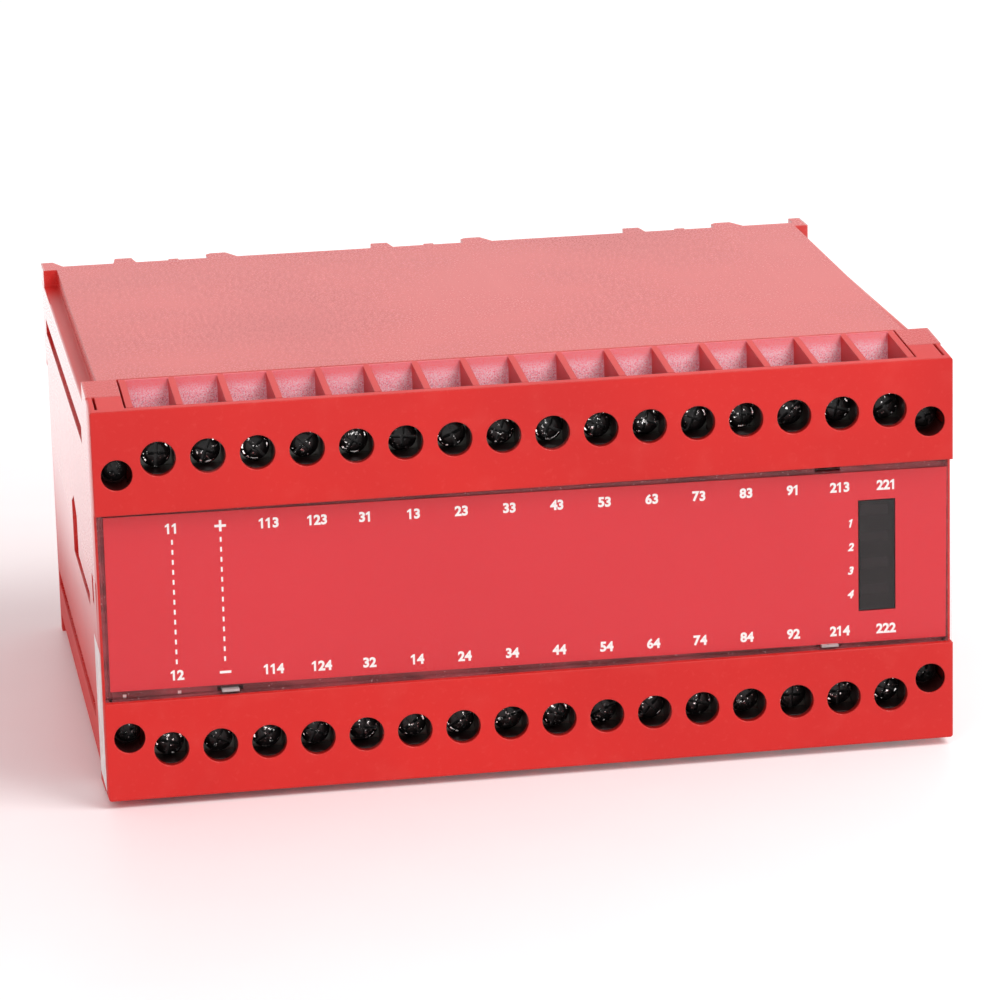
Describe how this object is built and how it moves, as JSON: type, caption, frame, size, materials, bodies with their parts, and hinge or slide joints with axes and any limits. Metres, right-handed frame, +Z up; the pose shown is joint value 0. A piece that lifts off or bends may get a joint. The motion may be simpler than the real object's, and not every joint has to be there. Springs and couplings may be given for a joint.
{
  "type": "safety relay",
  "caption": "Wide red rail-mounted safety relay module with screw terminal rows along its top and bottom, a clear cover over a label and a dark indicator window.",
  "frame": {"origin": "middle of the bounding box's underside, on the surface the relay stands on", "axes": "+X across the front to the right, +Y from the front face back to the rail, +Z up"},
  "size_m": [0.15, 0.118, 0.072],
  "materials": {
    "red_plastic": "moulded, fine satin",
    "clear_plastic": "clear, polished",
    "label_film": "printed film under the clear cover",
    "smoked_plastic": "smoked, glossy",
    "led_resin": "tinted epoxy",
    "circuit_board": "solder-resist green",
    "plated_steel": "zinc plated",
    "spring_steel": "bright strip",
    "brass_strip": "tinned brass",
    "latch_plastic": "moulded",
    "core_steel": "varnished laminations",
    "coil_tape": "yellow winding tape",
    "relay_case": "moulded",
    "can_sleeve": "shrink sleeve",
    "varistor_coat": "dipped epoxy",
    "dark_resin": "moulded epoxy"
  },
  "bodies": {
    "relay": {"housing": "red_plastic", "base": "red_plastic", "front_cover": "red_plastic", "upper_terminal_block": "red_plastic", "lower_terminal_block": "red_plastic", "clear_cover": "clear_plastic", "label_plate": "label_film", "indicator_window": "smoked_plastic", "light_guide": "clear_plastic", "indicator_leds": "led_resin", "indicator_board": "circuit_board", "upper_clamps": "plated_steel", "lower_clamps": "plated_steel", "upper_terminal_screws": "plated_steel", "lower_terminal_screws": "plated_steel", "upper_contacts": "brass_strip", "lower_contacts": "brass_strip", "cover_screws": "plated_steel", "latch_spring_left": "spring_steel", "latch_spring_middle": "spring_steel", "latch_spring_right": "spring_steel", "lower_board": "circuit_board", "upper_board": "circuit_board", "link_board": "circuit_board", "board_posts": "plated_steel", "transformer_core": "core_steel", "transformer_coil": "coil_tape", "relay_k1": "relay_case", "relay_k2": "relay_case", "start_relay": "relay_case", "capacitors": "can_sleeve", "varistor": "varistor_coat", "fuse_link": "dark_resin", "rectifier": "dark_resin", "logic_chips": "dark_resin"},
    "rail_latch_left": {"rail_latch_left": "latch_plastic"},
    "rail_latch_middle": {"rail_latch_middle": "latch_plastic"},
    "rail_latch_right": {"rail_latch_right": "latch_plastic"}
  },
  "joints": [
    {"name": "rail_latch_left_slide", "type": "slide", "parent": "relay", "child": "rail_latch_left", "axis": [0, 0, -1], "range_m": [0, 0.0025], "stiffness_N_per_m": 1500, "springref_m": -0.001, "deforming": ["latch_spring_left"]},
    {"name": "rail_latch_middle_slide", "type": "slide", "parent": "relay", "child": "rail_latch_middle", "axis": [0, 0, -1], "range_m": [0, 0.0025], "stiffness_N_per_m": 1500, "springref_m": -0.001, "deforming": ["latch_spring_middle"]},
    {"name": "rail_latch_right_slide", "type": "slide", "parent": "relay", "child": "rail_latch_right", "axis": [0, 0, -1], "range_m": [0, 0.0025], "stiffness_N_per_m": 1500, "springref_m": -0.001, "deforming": ["latch_spring_right"]}
  ]
}
